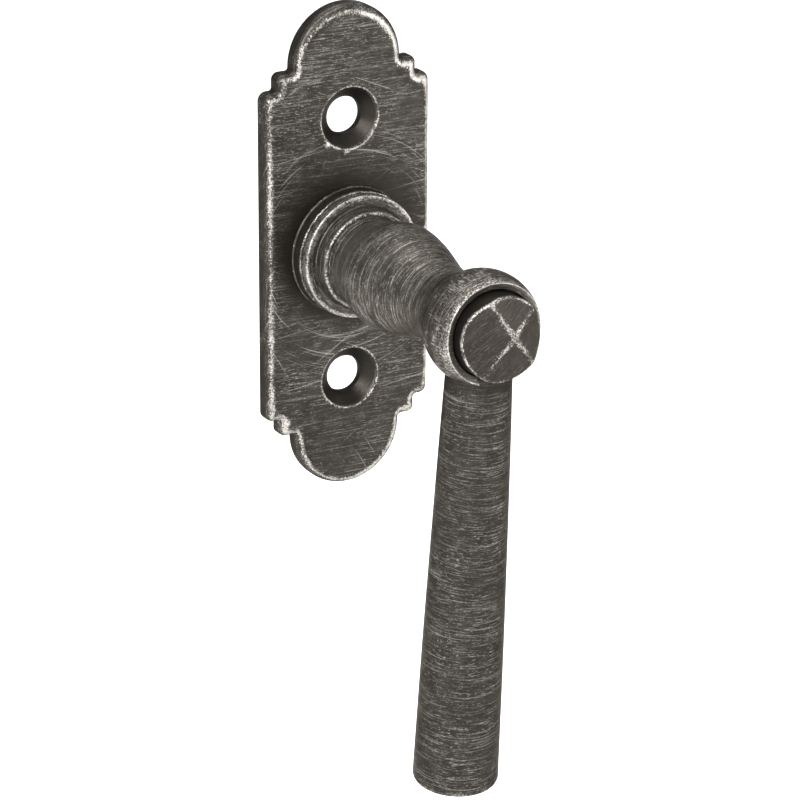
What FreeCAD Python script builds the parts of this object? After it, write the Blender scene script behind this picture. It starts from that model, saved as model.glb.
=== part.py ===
import FreeCAD, Part
import math
import os

# Spindle-driven window handle. Millimetres.
# X runs across the plate, Y into the window, Z up. The origin is on the
# spindle axis, in the plane of the hub's back, 1 mm behind the plate's back face.
# A "front" distance is measured from that plane towards the user, along -Y.

# Gap left round every piece that sits in a hole of another.
FIT_GAP = 0.02

# ---- face plate ----
PLATE_WIDTH = 29.2
PLATE_HEIGHT = 79.4
PLATE_BACK = 1.0
PLATE_FRONT = 4.1
PLATE_EDGE_ROUND = 1.05
EAR_TOP = 26.97
EAR_RADIUS = 1.4
LOBE_HALF_WIDTH = 12.25
LOBE_RADIUS = 1.15
ARCH_RADIUS = 9.4
NOTCH_RADIUS = 0.5
HOLE_SPACING = 43.0
HOLE_RADIUS = 3.0
COUNTERSINK_RADIUS = 4.98
HUB_HALF_WIDTH = 10.4
HUB_HALF_HEIGHT = 17.2

# ---- mechanism pocket in the hub ----
COVER_HALF_WIDTH = 9.7
COVER_HALF_HEIGHT = 16.4
COVER_THICKNESS = 0.6
COVER_HOLE_RADIUS = 6.6
COVER_CORNER = 1.2
POCKET_RADIUS = 9.0
POCKET_FRONT = 3.3
RIVET_X = 7.6
RIVET_Z = 12.4
RIVET_RADIUS = 0.9
RIVET_HEAD_RADIUS = 1.5
RIVET_FRONT = 3.0
CHANNEL_HALF_WIDTH = 1.15
CHANNEL_FRONT = 3.2
CHANNEL_END = 15.3

# ---- collar and bearing ----
COLLAR_RADIUS = 10.2
COLLAR_FRONT = 6.6
COLLAR_EDGE = 0.3
SPIGOT_RADIUS = 8.0
BUSH_RADIUS = 7.4
JOURNAL_RADIUS = 6.2
JOURNAL_CLEARANCE = 0.03
WASHER_SEAT = 6.08
WASHER_FRONT = 6.7
WASHER_RADIUS = 9.3
WASHER_BORE = 6.3

# ---- turned neck ----
NECK_TAIL = 0.25
TAIL_CHAMFER = 0.3
FLAT_HALF_WIDTH = 5.6
GROOVE_RADIUS = 5.8
FOOT_BACK = 6.73
FOOT_FRONT = 8.36
FOOT_RADIUS = 10.0
FOOT_EDGE = 0.3
STEP_BASE_RADIUS = 8.3
STEP_RADIUS = 7.92
STEP_FRONT = 10.74
NECK_END = 39.25
NECK_END_RADIUS = 6.9
TENON_SIZE = 7.0
TENON_FRONT = 46.0

# ---- spindle and its screw ----
SPINDLE_SIZE = 7.0
SPINDLE_CHAMFER = 0.5
SPINDLE_REACH = 16.0
SPINDLE_FRONT = 24.0
SOCKET_CLEARANCE = 0.025
SOCKET_FRONT = 24.2
GRUB_RADIUS = 2.0
GRUB_FRONT = 20.0
GRUB_END = 8.2
HEX_ACROSS_FLATS = 2.0
HEX_DEPTH = 2.0

# ---- index disc, ring and disc spring ----
DISC_RADIUS = 8.6
DISC_BACK = 1.4
DISC_FRONT = 2.8
NOTCH_COUNT = 4
NOTCH_DEPTH = 0.45
NOTCH_CLEARANCE = 0.03
RING_RADIUS = 8.0
RING_BACK = 0.8
RING_GAP = 3.0
RING_EYE_RADIUS = 0.5
DISC_SPRING_BORE = 6.35
DISC_SPRING_RADIUS = 8.2
DISC_SPRING_THICKNESS = 0.25
DISC_SPRING_FRONT = 3.28

# ---- detent balls and springs ----
BALL_RADIUS = 1.1
BALL_FRONT = 2.05
BALL_LIFT_CLEARANCE = 0.02
SPRING_COIL_RADIUS = 0.85
SPRING_WIRE_RADIUS = 0.15
SPRING_TURNS = 5
SPRING_STEPS_PER_TURN = 14
SPRING_WIRE_SIDES = 8

# ---- knuckle ball and pyramid head ----
KNUCKLE_FRONT = 44.81
KNUCKLE_RADIUS = 8.88
KNUCKLE_CUT = 48.65
DISH_DROP = 0.4
DISH_RADIUS = 6.95
DISH_FLOOR = 47.1
LOCK_WASHER_BORE = 2.6
LOCK_WASHER_RADIUS = 4.1
HEAD_BACK = 47.6
HEAD_RADIUS = 6.68
RIDGE_FRONT = 51.15
APEX_FRONT = 53.25
APEX_X = 0.95
APEX_Z = 0.7
RIDGE_ANGLES = (41.0, 112.0, 234.0, 319.0)
SCREW_RADIUS = 2.5
SCREW_END = 35.0
SCREW_HOLE_END = 33.0

# ---- grip, measured along its own axis from the knuckle's centre ----
GRIP_LEAN = 4.71
GRIP_START = 7.3
GRIP_END = 77.56
GRIP_TOP_RADIUS = 5.08
GRIP_END_RADIUS = 6.72
GRIP_BULGE = 0.15
GRIP_END_ROUND = 1.0
STUD_RADIUS = 2.5
STUD_START = 4.2
STUD_END = 20.2
STUD_HOLE_END = 20.6

ORIGIN = FreeCAD.Vector(0, 0, 0)
ACROSS = FreeCAD.Vector(1, 0, 0)
INTO_WINDOW = FreeCAD.Vector(0, 1, 0)
TOWARDS_USER = FreeCAD.Vector(0, -1, 0)
UP = FreeCAD.Vector(0, 0, 1)
KNUCKLE_CENTRE = FreeCAD.Vector(0, -KNUCKLE_FRONT, 0)


def at(x, front, z):
    """Point from its distance across, in front of the hub's back, and up."""
    return FreeCAD.Vector(x, -front, z)


def closed_polygon(corners):
    """Closed wire through the corners."""
    return Part.makePolygon(corners + [corners[0]])


def turned(profile):
    """Solid of revolution about the spindle axis, from (radius, front) corners."""
    corners = [at(radius, front, 0) for radius, front in profile]
    return Part.Face(closed_polygon(corners)).revolve(ORIGIN, INTO_WINDOW, 360)


def rod(radius, back, front, x=0, z=0):
    """Cylinder parallel to the spindle axis."""
    return Part.makeCylinder(radius, front - back, at(x, back, z), TOWARDS_USER)


def washer(bore, radius, back, front):
    """Flat ring about the spindle axis."""
    return rod(radius, back, front).cut(rod(bore, back - 1, front + 1))


def bar(half_width, half_height, back, front):
    """Rectangular bar along the spindle axis, centred on it."""
    return Part.makeBox(
        2 * half_width, front - back, 2 * half_height, at(-half_width, front, -half_height)
    )


def arc(start, middle, end):
    """Circular edge through three points."""
    return Part.Arc(start, middle, end).toShape()


def round_corner(x, z, radius):
    """Quarter circle in the plate's plane, from beside its centre to above it."""
    half = radius * math.sqrt(0.5)
    return arc(at(x + radius, 0, z), at(x + half, 0, z + half), at(x, 0, z + radius))


def notch_corner(x, z):
    """Small quarter circle into the plate, where a flat step meets an upright side."""
    centre_x = x + NOTCH_RADIUS
    centre_z = z + NOTCH_RADIUS
    half = NOTCH_RADIUS * math.sqrt(0.5)
    return arc(at(centre_x, 0, z), at(centre_x - half, 0, centre_z - half), at(x, 0, centre_z))


def plate_outline():
    """Closed outline of the plate: straight sides, ear, lobe and arch at each end."""
    side_x = PLATE_WIDTH / 2
    ear_x = side_x - EAR_RADIUS
    ear_z = EAR_TOP - EAR_RADIUS
    arch_z = PLATE_HEIGHT / 2 - ARCH_RADIUS
    lobe_top = arch_z - NOTCH_RADIUS
    lobe_x = LOBE_HALF_WIDTH - LOBE_RADIUS
    lobe_z = lobe_top - LOBE_RADIUS
    quarter = [
        Part.makeLine(at(side_x, 0, 0), at(side_x, 0, ear_z)),
        round_corner(ear_x, ear_z, EAR_RADIUS),
        Part.makeLine(at(ear_x, 0, EAR_TOP), at(LOBE_HALF_WIDTH + NOTCH_RADIUS, 0, EAR_TOP)),
        notch_corner(LOBE_HALF_WIDTH, EAR_TOP),
        Part.makeLine(at(LOBE_HALF_WIDTH, 0, EAR_TOP + NOTCH_RADIUS), at(LOBE_HALF_WIDTH, 0, lobe_z)),
        round_corner(lobe_x, lobe_z, LOBE_RADIUS),
        Part.makeLine(at(lobe_x, 0, lobe_top), at(ARCH_RADIUS + NOTCH_RADIUS, 0, lobe_top)),
        notch_corner(ARCH_RADIUS, lobe_top),
        round_corner(0, arch_z, ARCH_RADIUS),
    ]
    right = quarter + [edge.mirror(ORIGIN, UP) for edge in quarter]
    edges = right + [edge.mirror(ORIGIN, ACROSS) for edge in right]
    return Part.Wire(Part.__sortEdges__(edges))


def backplate():
    """Plate with a rounded front edge and screw holes, and a hub behind it with a pocket."""
    outline = Part.Face(plate_outline())
    outline.translate(at(0, PLATE_BACK, 0))
    plate = outline.extrude(TOWARDS_USER * (PLATE_FRONT - PLATE_BACK))
    front_edges = []
    for edge in plate.Edges:
        if edge.BoundBox.YMax < -PLATE_FRONT + 0.001:
            front_edges.append(edge)
    plate = plate.makeFillet(PLATE_EDGE_ROUND, front_edges)
    plate = plate.fuse(bar(HUB_HALF_WIDTH, HUB_HALF_HEIGHT, 0, PLATE_BACK + 0.5)).removeSplitter()

    plate = plate.cut(cover_blank(0, COVER_THICKNESS))
    plate = plate.cut(rod(POCKET_RADIUS, 0, POCKET_FRONT))
    plate = plate.cut(rod(SPIGOT_RADIUS + FIT_GAP, 0, PLATE_FRONT + 1))
    plate = plate.cut(bar(CHANNEL_HALF_WIDTH, CHANNEL_END, 0, CHANNEL_FRONT))
    for x, z in rivet_places():
        plate = plate.cut(rod(RIVET_RADIUS + FIT_GAP, 0, RIVET_FRONT, x, z))
    for z in (-HOLE_SPACING / 2, HOLE_SPACING / 2):
        plate = plate.cut(rod(HOLE_RADIUS, -1, PLATE_FRONT + 1, 0, z))
        depth = COUNTERSINK_RADIUS - HOLE_RADIUS
        cone = Part.makeCone(
            HOLE_RADIUS,
            COUNTERSINK_RADIUS + 1,
            depth + 1,
            at(0, PLATE_FRONT - depth, z),
            TOWARDS_USER,
        )
        plate = plate.cut(cone)
    return plate


def cover_blank(back, front):
    """Rounded rectangle that fills the cover's seat."""
    blank = bar(COVER_HALF_WIDTH, COVER_HALF_HEIGHT, back, front)
    corners = []
    for edge in blank.Edges:
        if edge.BoundBox.XLength < 0.001 and edge.BoundBox.ZLength < 0.001:
            corners.append(edge)
    return blank.makeFillet(COVER_CORNER, corners)


def rivet_places():
    """Centres of the four cover rivets."""
    return [(x, z) for x in (-RIVET_X, RIVET_X) for z in (-RIVET_Z, RIVET_Z)]


def rivet_head(x, z):
    """Countersunk rivet head, flush with the hub's back."""
    return Part.makeCone(RIVET_HEAD_RADIUS, RIVET_RADIUS, COVER_THICKNESS, at(x, 0, z), TOWARDS_USER)


def rear_cover():
    """Thin cover over the pocket, with the tail hole and countersunk rivet holes."""
    cover = cover_blank(0, COVER_THICKNESS)
    cover = cover.cut(rod(COVER_HOLE_RADIUS, -1, COVER_THICKNESS + 1))
    for x, z in rivet_places():
        cover = cover.cut(rivet_head(x, z))
    return cover


def cover_rivets():
    """Four countersunk rivets."""
    rivets = []
    for x, z in rivet_places():
        shank = rod(RIVET_RADIUS, COVER_THICKNESS, RIVET_FRONT, x, z)
        rivets.append(rivet_head(x, z).fuse(shank).removeSplitter())
    return Part.makeCompound(rivets)


def bearing_collar():
    """Collar on the plate's face, its spigot through the plate's web."""
    return turned([
        (BUSH_RADIUS, POCKET_FRONT),
        (SPIGOT_RADIUS, POCKET_FRONT),
        (SPIGOT_RADIUS, PLATE_FRONT),
        (COLLAR_RADIUS, PLATE_FRONT),
        (COLLAR_RADIUS, COLLAR_FRONT - COLLAR_EDGE),
        (COLLAR_RADIUS - COLLAR_EDGE, COLLAR_FRONT),
        (WASHER_RADIUS, COLLAR_FRONT),
        (WASHER_RADIUS, WASHER_SEAT),
        (BUSH_RADIUS, WASHER_SEAT),
    ])


def neck_bush():
    """Plain bearing pressed into the collar."""
    return washer(JOURNAL_RADIUS + JOURNAL_CLEARANCE, BUSH_RADIUS - FIT_GAP, POCKET_FRONT, WASHER_SEAT)


def thrust_washer():
    """Washer in the collar's front recess, just proud of the collar."""
    return washer(WASHER_BORE, WASHER_RADIUS, WASHER_SEAT, WASHER_FRONT)


def coil_section(angle, height):
    """Polygon around the spring's wire, in the plane through the coil's axis."""
    outward = FreeCAD.Vector(math.cos(angle), math.sin(angle), 0)
    centre = outward * SPRING_COIL_RADIUS + UP * height
    corners = []
    for number in range(SPRING_WIRE_SIDES):
        around = 2 * math.pi * number / SPRING_WIRE_SIDES
        across = outward * (SPRING_WIRE_RADIUS * math.cos(around))
        corners.append(centre + across + UP * (SPRING_WIRE_RADIUS * math.sin(around)))
    return closed_polygon(corners)


def detent_spring(side):
    """Coil spring between a ball and the end of its channel; side is +1 above, -1 below."""
    reach = math.sqrt((BALL_RADIUS + SPRING_WIRE_RADIUS) ** 2 - SPRING_COIL_RADIUS ** 2)
    start = ball_height() + reach + BALL_LIFT_CLEARANCE
    end = CHANNEL_END - SPRING_WIRE_RADIUS
    count = SPRING_TURNS * SPRING_STEPS_PER_TURN
    sections = []
    for number in range(count + 1):
        angle = 2 * math.pi * number / SPRING_STEPS_PER_TURN
        sections.append(coil_section(angle, (end - start) * number / count))
    spring = Part.makeLoft(sections, True, True)
    lower_end = start if side > 0 else -end
    spring.translate(at(0, BALL_FRONT, lower_end))
    return spring


def ball_height():
    """Height of a lifted ball's centre, just clear of the index disc's rim."""
    return DISC_RADIUS + BALL_RADIUS + BALL_LIFT_CLEARANCE


def detent_ball(side):
    """Detent ball, lifted; side is +1 above, -1 below."""
    return Part.makeSphere(BALL_RADIUS, at(0, BALL_FRONT, side * ball_height()))


def neck_profile():
    """Half section of the neck, from its tail to the shoulder at the knuckle."""
    back = [
        (0, NECK_TAIL),
        (JOURNAL_RADIUS - TAIL_CHAMFER, NECK_TAIL),
        (JOURNAL_RADIUS, NECK_TAIL + TAIL_CHAMFER),
        (JOURNAL_RADIUS, FOOT_BACK),
        (FOOT_RADIUS - FOOT_EDGE, FOOT_BACK),
        (FOOT_RADIUS, FOOT_BACK + FOOT_EDGE),
        (FOOT_RADIUS, FOOT_FRONT - FOOT_EDGE),
        (FOOT_RADIUS - FOOT_EDGE, FOOT_FRONT),
        (STEP_BASE_RADIUS, FOOT_FRONT),
        (STEP_RADIUS, STEP_FRONT - 0.2),
        (STEP_RADIUS - 0.2, STEP_FRONT),
        (7.3, STEP_FRONT),
    ]
    bell = [
        (7.3, STEP_FRONT),
        (7.0, 11.7),
        (7.12, 13.2),
        (7.67, 15.0),
        (8.3, 16.8),
        (8.66, 18.8),
        (8.55, 21.0),
        (8.02, 24.0),
        (7.26, 27.0),
        (6.5, 30.0),
        (6.06, 33.0),
        (6.16, 36.0),
        (NECK_END_RADIUS, NECK_END),
    ]
    curve = Part.BSplineCurve()
    curve.interpolate([at(radius, front, 0) for radius, front in bell])
    start = Part.makePolygon([at(radius, front, 0) for radius, front in back])
    finish = Part.makePolygon([at(NECK_END_RADIUS, NECK_END, 0), at(0, NECK_END, 0), at(0, NECK_TAIL, 0)])
    return Part.Wire(start.Edges + [curve.toShape()] + finish.Edges)


def neck():
    """Turned neck: tail with flats and ring groove, journal, foot, bell and tenon."""
    body = Part.Face(neck_profile()).revolve(ORIGIN, INTO_WINDOW, 360)
    tenon = bar(TENON_SIZE / 2, TENON_SIZE / 2, NECK_END - 2, TENON_FRONT)
    body = body.fuse(tenon).removeSplitter()

    flats = rod(JOURNAL_RADIUS + 1, 0, DISC_FRONT)
    flats = flats.cut(bar(FLAT_HALF_WIDTH, 2 * JOURNAL_RADIUS, -1, DISC_FRONT + 1))
    body = body.cut(flats)
    body = body.cut(washer(GROOVE_RADIUS - FIT_GAP, JOURNAL_RADIUS + 1, RING_BACK, DISC_BACK))

    socket = SPINDLE_SIZE / 2 + SOCKET_CLEARANCE
    body = body.cut(bar(socket, socket, 0, SOCKET_FRONT))
    body = body.cut(rod(SCREW_RADIUS + FIT_GAP, SCREW_HOLE_END, TENON_FRONT + 1))
    grub_hole = Part.makeCylinder(GRUB_RADIUS + FIT_GAP, 10, at(0, GRUB_FRONT, -2), -UP)
    return body.cut(grub_hole)


def index_disc():
    """Disc with a notch every quarter turn, keyed on the neck's flats."""
    disc = rod(DISC_RADIUS, DISC_BACK, DISC_FRONT)
    bore = rod(JOURNAL_RADIUS + FIT_GAP, DISC_BACK - 1, DISC_FRONT + 1)
    bore = bore.common(bar(FLAT_HALF_WIDTH + FIT_GAP, 2 * JOURNAL_RADIUS, 0, 5))
    disc = disc.cut(bore)
    seat = ball_height() - NOTCH_DEPTH
    notch = rod(BALL_RADIUS + NOTCH_CLEARANCE, DISC_BACK - 1, DISC_FRONT + 1, 0, seat)
    for number in range(NOTCH_COUNT):
        turned_notch = notch.copy()
        turned_notch.rotate(ORIGIN, INTO_WINDOW, number * 360 / NOTCH_COUNT)
        disc = disc.cut(turned_notch)
    return disc


def retaining_ring():
    """Open snap ring in the tail's groove, with a plier eye at each end."""
    ring = washer(GROOVE_RADIUS, RING_RADIUS, RING_BACK, DISC_BACK)
    gap = Part.makeBox(RING_GAP, 4, 2 * RING_RADIUS, at(-RING_GAP / 2, 3, -2 * RING_RADIUS))
    ring = ring.cut(gap)
    for x in (-RING_GAP / 2 - 0.9, RING_GAP / 2 + 0.9):
        ring = ring.cut(rod(RING_EYE_RADIUS, 0, 3, x, -6.55))
    return ring


def disc_spring():
    """Conical washer between the index disc and the pocket's front."""
    inner_back = DISC_SPRING_FRONT - DISC_SPRING_THICKNESS
    return turned([
        (DISC_SPRING_RADIUS, DISC_FRONT),
        (DISC_SPRING_RADIUS, DISC_FRONT + DISC_SPRING_THICKNESS),
        (DISC_SPRING_BORE, DISC_SPRING_FRONT),
        (DISC_SPRING_BORE, inner_back),
    ])


def spindle():
    """Square spindle with chamfered corners."""
    half = SPINDLE_SIZE / 2
    square = bar(half, half, -SPINDLE_REACH, SPINDLE_FRONT)
    return square.makeChamfer(SPINDLE_CHAMFER, square.Edges)


def spindle_grub_screw():
    """Socket set screw from the neck's underside on to the spindle's flat."""
    top = -SPINDLE_SIZE / 2
    screw = Part.makeCylinder(GRUB_RADIUS, GRUB_END + top, at(0, GRUB_FRONT, top), -UP)
    corner = HEX_ACROSS_FLATS / math.sqrt(3)
    corners = []
    for number in range(6):
        angle = math.radians(60 * number)
        corners.append(at(corner * math.cos(angle), GRUB_FRONT + corner * math.sin(angle), -GRUB_END))
    hexagon = Part.Face(closed_polygon(corners))
    return screw.cut(hexagon.extrude(UP * HEX_DEPTH))


def on_grip_axis(radius, start, end):
    """Cylinder on the leaning grip axis, between two distances from the knuckle's centre."""
    cylinder = Part.makeCylinder(radius, end - start, KNUCKLE_CENTRE - UP * start, -UP)
    cylinder.rotate(KNUCKLE_CENTRE, ACROSS, GRIP_LEAN)
    return cylinder


def knuckle():
    """Ball with a flat back on the neck, a dished front and a flat for the grip."""
    ball = Part.makeSphere(KNUCKLE_RADIUS, KNUCKLE_CENTRE)
    ball = ball.common(rod(KNUCKLE_RADIUS + 1, NECK_END, KNUCKLE_CUT))
    rim_radius = math.sqrt(KNUCKLE_RADIUS ** 2 - (KNUCKLE_CUT - KNUCKLE_FRONT) ** 2) - 0.1
    ball = ball.cut(turned([
        (0, DISH_FLOOR),
        (DISH_RADIUS, DISH_FLOOR),
        (DISH_RADIUS, KNUCKLE_CUT - DISH_DROP),
        (rim_radius, KNUCKLE_CUT),
        (rim_radius, KNUCKLE_CUT + 1),
        (0, KNUCKLE_CUT + 1),
    ]))
    socket = TENON_SIZE / 2 + FIT_GAP
    ball = ball.cut(bar(socket, socket, NECK_END - 1, DISH_FLOOR + 1))
    ball = ball.cut(on_grip_axis(KNUCKLE_RADIUS, GRIP_START, 2 * KNUCKLE_RADIUS))
    return ball.cut(on_grip_axis(STUD_RADIUS + FIT_GAP, STUD_START, KNUCKLE_RADIUS))


def lock_washer():
    """Split washer under the pyramid head."""
    ring = washer(LOCK_WASHER_BORE, LOCK_WASHER_RADIUS, DISH_FLOOR, HEAD_BACK)
    return ring.cut(Part.makeBox(0.5, 3, 6, at(-0.25, HEAD_BACK + 1, 0)))


def pyramid_head_screw():
    """Screw whose round head is cut to four facets that meet off centre."""
    apex = at(APEX_X, APEX_FRONT, APEX_Z)
    scale = (APEX_FRONT - HEAD_BACK) / (APEX_FRONT - RIDGE_FRONT)
    base = []
    for angle in RIDGE_ANGLES:
        x = HEAD_RADIUS * math.cos(math.radians(angle))
        z = HEAD_RADIUS * math.sin(math.radians(angle))
        base.append(apex + (at(x, RIDGE_FRONT, z) - apex) * scale)
    faces = [Part.Face(closed_polygon(base))]
    for first, second in zip(base, base[1:] + base[:1]):
        faces.append(Part.Face(closed_polygon([first, second, apex])))
    pyramid = Part.Solid(Part.Shell(faces))
    head = rod(HEAD_RADIUS, HEAD_BACK, APEX_FRONT).common(pyramid)
    shank = rod(SCREW_RADIUS, SCREW_END, HEAD_BACK)
    return head.fuse(shank).removeSplitter()


def grip_stud():
    """Threaded stud that joins the grip to the knuckle."""
    return on_grip_axis(STUD_RADIUS, STUD_START, STUD_END)


def grip():
    """Tapered round grip with a slight bulge and a rounded lower edge."""
    side = []
    steps = 6
    for number in range(steps + 1):
        share = number / steps
        length = GRIP_START + share * (GRIP_END - GRIP_END_ROUND - GRIP_START)
        radius = GRIP_TOP_RADIUS + share * (GRIP_END_RADIUS - GRIP_TOP_RADIUS)
        radius = radius + GRIP_BULGE * math.sin(math.pi * share)
        side.append(at(radius, KNUCKLE_FRONT, -length))
    curve = Part.BSplineCurve()
    curve.interpolate(side)
    inner = GRIP_END_RADIUS - GRIP_END_ROUND
    half = GRIP_END_ROUND * math.sqrt(0.5)
    low = GRIP_END - GRIP_END_ROUND
    corner = arc(
        side[-1],
        at(inner + half, KNUCKLE_FRONT, -low - half),
        at(inner, KNUCKLE_FRONT, -GRIP_END),
    )
    rest = Part.makePolygon([
        at(inner, KNUCKLE_FRONT, -GRIP_END),
        at(0, KNUCKLE_FRONT, -GRIP_END),
        at(0, KNUCKLE_FRONT, -GRIP_START),
        side[0],
    ])
    section = Part.Face(Part.Wire([curve.toShape(), corner] + rest.Edges))
    body = section.revolve(KNUCKLE_CENTRE, UP, 360)
    body.rotate(KNUCKLE_CENTRE, ACROSS, GRIP_LEAN)
    return body.cut(on_grip_axis(STUD_RADIUS + FIT_GAP, 0, STUD_HOLE_END))


PARTS = {
    "backplate": backplate(),
    "bearing_collar": bearing_collar(),
    "neck_bush": neck_bush(),
    "thrust_washer": thrust_washer(),
    "rear_cover": rear_cover(),
    "cover_rivets": cover_rivets(),
    "upper_detent_spring": detent_spring(1),
    "lower_detent_spring": detent_spring(-1),
    "upper_ball": detent_ball(1),
    "lower_ball": detent_ball(-1),
    "neck": neck(),
    "disc_spring": disc_spring(),
    "index_disc": index_disc(),
    "retaining_ring": retaining_ring(),
    "spindle": spindle(),
    "spindle_grub_screw": spindle_grub_screw(),
    "knuckle": knuckle(),
    "lock_washer": lock_washer(),
    "pyramid_head_screw": pyramid_head_screw(),
    "grip_stud": grip_stud(),
    "grip": grip(),
}

os.makedirs("parts", exist_ok=True)
for name, shape in PARTS.items():
    shape.exportStep(os.path.join("parts", name + ".step"))
    print(name, len(shape.Solids), round(shape.Volume, 2), shape.isValid())
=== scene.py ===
import math

import bmesh
import bpy
import numpy as np
from mathutils import Matrix, Vector, geometry


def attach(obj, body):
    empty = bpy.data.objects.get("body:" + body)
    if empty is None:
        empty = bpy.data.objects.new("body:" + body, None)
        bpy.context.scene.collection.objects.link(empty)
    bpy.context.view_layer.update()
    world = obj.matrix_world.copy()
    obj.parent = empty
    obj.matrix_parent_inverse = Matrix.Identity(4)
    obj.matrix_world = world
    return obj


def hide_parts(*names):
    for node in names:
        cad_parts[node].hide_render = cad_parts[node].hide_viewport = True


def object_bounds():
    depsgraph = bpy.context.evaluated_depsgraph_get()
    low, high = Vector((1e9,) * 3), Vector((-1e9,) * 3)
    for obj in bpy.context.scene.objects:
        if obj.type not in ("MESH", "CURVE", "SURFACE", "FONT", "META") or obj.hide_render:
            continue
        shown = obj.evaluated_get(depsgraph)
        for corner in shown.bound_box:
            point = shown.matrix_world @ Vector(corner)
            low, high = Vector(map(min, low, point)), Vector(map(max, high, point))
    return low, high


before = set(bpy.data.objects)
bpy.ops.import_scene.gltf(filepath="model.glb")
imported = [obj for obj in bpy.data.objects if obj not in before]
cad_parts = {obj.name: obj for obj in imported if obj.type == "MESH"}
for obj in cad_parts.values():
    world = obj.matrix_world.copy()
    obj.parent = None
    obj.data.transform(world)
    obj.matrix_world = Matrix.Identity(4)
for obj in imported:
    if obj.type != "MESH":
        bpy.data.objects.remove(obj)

CAD_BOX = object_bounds()

# Every length below is in millimetres: across (X), front (-Y), up (Z).
# "wear" is how far a point is rubbed back to bright metal. The darkening value is how
# dark the patina is, and it also carries painted shade in creases, recesses and under
# parts; below 0 it is painted light, paler than usual. "brush" is the place of the point
# along and across the brush lines.

# Plate: half sizes, back and front, and the places and radii of its shaped corners.
PLATE_X = 14.6
PLATE_TOP = 39.7
PLATE_BACK = 1.0
PLATE_FRONT = 4.1
EAR_TOP = 26.97
EAR = 1.4
LOBE_X = 12.25
LOBE = 1.15
ARCH = 9.4
NOTCH = 0.5
EDGE = 1.6

# Hub behind the plate: half sizes, corners and depths, the mechanism's pocket and its
# spring channels, the collar's spigot and the rivets.
HUB = (10.4, 17.2)
HUB_CORNER = 0.3
SEAT = (9.7, 16.4)
SEAT_CORNER = 1.2
SEAT_DEPTH = 0.6
POCKET = 9.0
POCKET_DEPTH = 3.3
CHANNEL = (1.15, 15.3)
SPIGOT = 8.0
RIVET = 0.9
RIVET_PLACE = (7.6, 12.4)
RIVET_FRONT = 3.0

# Countersunk screw holes, and the two burrs at the upper one as (degrees, size).
HOLE_Z = 21.5
HOLE = 3.0
SINK = 4.98
BURRS = ((222, 0.72), (262, 0.60))
BURR_HEIGHT = 0.14

# Width of the small bevels, and the spacing of triangles on flat faces.
RIM = 0.12
FINE = 0.34
COARSE = 1.2

# Third brush coordinate of the plate's back and side wall. The front has 0, so each
# gets its own part of the pattern.
BACK_PATTERN = 9.0
SIDE_PATTERN = 20.0

# Neck's front end, and the ball with the dish cut into it.
NECK_FRONT = 40.2
KNUCKLE = 44.81
KNUCKLE_R = 8.88
KNUCKLE_BACK = 39.25
KNUCKLE_CUT = 48.65
DISH_R = 6.95
DISH_FRONT = 48.22
DISH_FLOOR = 47.1

# Head: its point as (across, up, front), its ridges in degrees, and how hollow its facets are.
HEAD_R = 6.68
HEAD_BACK = 47.6
APEX = (0.95, 0.7, 53.25)
RIDGES = (41.0, 112.0, 234.0, 319.0)
RIDGE_FRONT = 51.15
HOLLOW = 0.0154

# Grip: along its own axis from the ball's centre, its radius at both ends, and its lean.
GRIP_START = 6.3
GRIP_END = 77.56
GRIP_R = (5.08, 6.72)
LEAN = math.radians(4.71)


# ---------------------------------------------------------------- mesh tools

def falloff(distance, width):
    return np.exp(-(np.asarray(distance, float) / width) ** 2)


def waves(x, y, z, seed, scale):
    """Smooth repeatable unevenness, mostly between -1 and 1, from a few sine waves."""
    rng = np.random.default_rng(seed)
    total = 0.0
    for _ in range(7):
        direction = rng.normal(size=3)
        direction /= np.linalg.norm(direction)
        phase = rng.uniform(0, 2 * math.pi)
        rate = rng.uniform(0.6, 1.6) / scale
        total = total + np.sin(rate * (x * direction[0] + y * direction[1] + z * direction[2]) + phase)
    return total / 4.0


def mottle(x, y, z, seed, scale):
    """The same unevenness, mostly between 0 and 1."""
    return 0.5 + 0.5 * waves(x, y, z, seed, scale)


class Shell:
    """Points with wear, darkening (patina and painted shade) and brush values, and the faces between them."""

    def __init__(self):
        self.points = []
        self.values = []
        self.faces = []

    def add(self, points, wear, dirt_and_shade, brush):
        start = len(self.points)
        count = len(points)
        wear = np.broadcast_to(np.asarray(wear, float), (count,))
        dirt_and_shade = np.broadcast_to(np.asarray(dirt_and_shade, float), (count,))
        self.points += [tuple(map(float, p)) for p in points]
        self.values += [(float(w), float(d), *map(float, b)) for w, d, b in zip(wear, dirt_and_shade, brush)]
        return list(range(start, start + count))

    def strip(self, first, second):
        """Faces between two closed rows of points."""
        count = len(first)
        for i in range(count):
            j = (i + 1) % count
            self.faces.append((first[i], first[j], second[j], second[i]))

    def make(self, name):
        mesh = bpy.data.meshes.new(name)
        places = [(x / 1000, -front / 1000, z / 1000) for x, front, z in self.points]
        mesh.from_pydata(places, [], self.faces)
        for index, key in enumerate(("wear", "dirt_and_shade")):
            layer = mesh.attributes.new(key, "FLOAT", "POINT")
            layer.data.foreach_set("value", [v[index] for v in self.values])
        layer = mesh.attributes.new("brush", "FLOAT_VECTOR", "POINT")
        layer.data.foreach_set("vector", [c for v in self.values for c in v[2:]])
        work = bmesh.new()
        work.from_mesh(mesh)
        bmesh.ops.remove_doubles(work, verts=work.verts, dist=2e-7)
        bmesh.ops.dissolve_degenerate(work, edges=work.edges, dist=1e-7)
        loose = [v for v in work.verts if not v.link_faces]
        bmesh.ops.delete(work, geom=loose, context="VERTS")
        bmesh.ops.recalc_face_normals(work, faces=work.faces)
        for face in work.faces:
            face.smooth = True
        work.to_mesh(mesh)
        work.free()
        piece = bpy.data.objects.new(name, mesh)
        bpy.context.scene.collection.objects.link(piece)
        return piece


def join_rows(shell, rows):
    for first, second in zip(rows, rows[1:]):
        shell.strip(first, second)


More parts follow.
